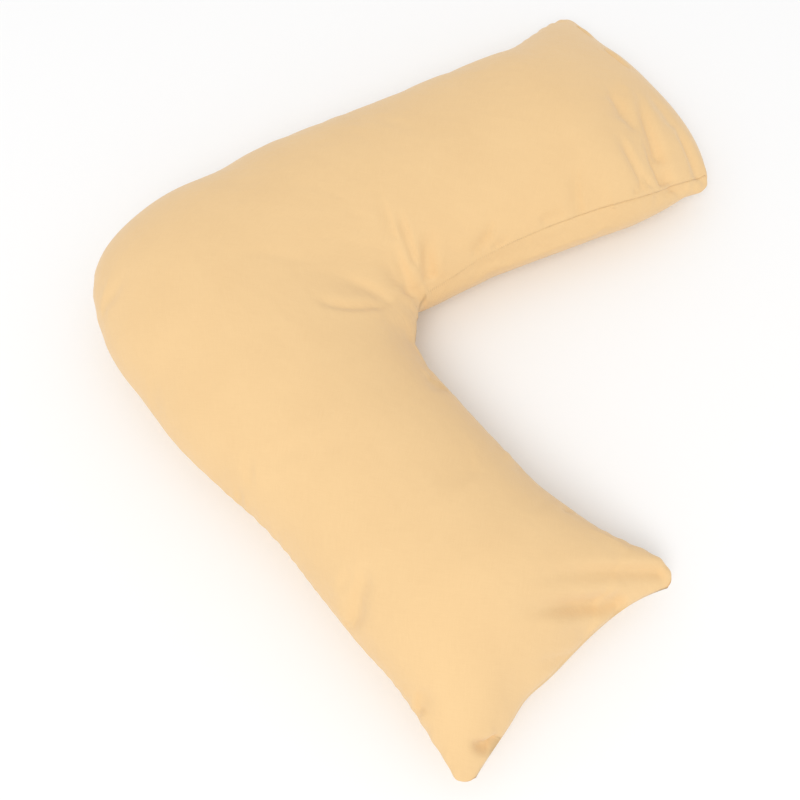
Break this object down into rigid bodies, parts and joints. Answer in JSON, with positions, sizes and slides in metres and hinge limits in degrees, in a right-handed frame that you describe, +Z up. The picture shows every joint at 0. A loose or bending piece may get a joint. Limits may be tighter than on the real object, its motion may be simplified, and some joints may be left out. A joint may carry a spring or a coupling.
{
  "type": "v-shaped pillow",
  "caption": "V-shaped filled bed pillow in plain cotton: a soft crowned cushion whose arms meet at a rounded corner, with a seam all the way round its edge.",
  "frame": {"origin": "on the surface that the pillow lies on, under the middle of its bounding box", "axes": "+Z up, out of the pillow's top; +X from the rounded corner towards the open side of the V; the arms run to -Y and +Y"},
  "size_m": [0.7575, 1.0644, 0.179],
  "materials": {
    "peach_cotton": "matte plain weave"
  },
  "bodies": {
    "root": {"v_pillow": "peach_cotton"}
  },
  "joints": []
}
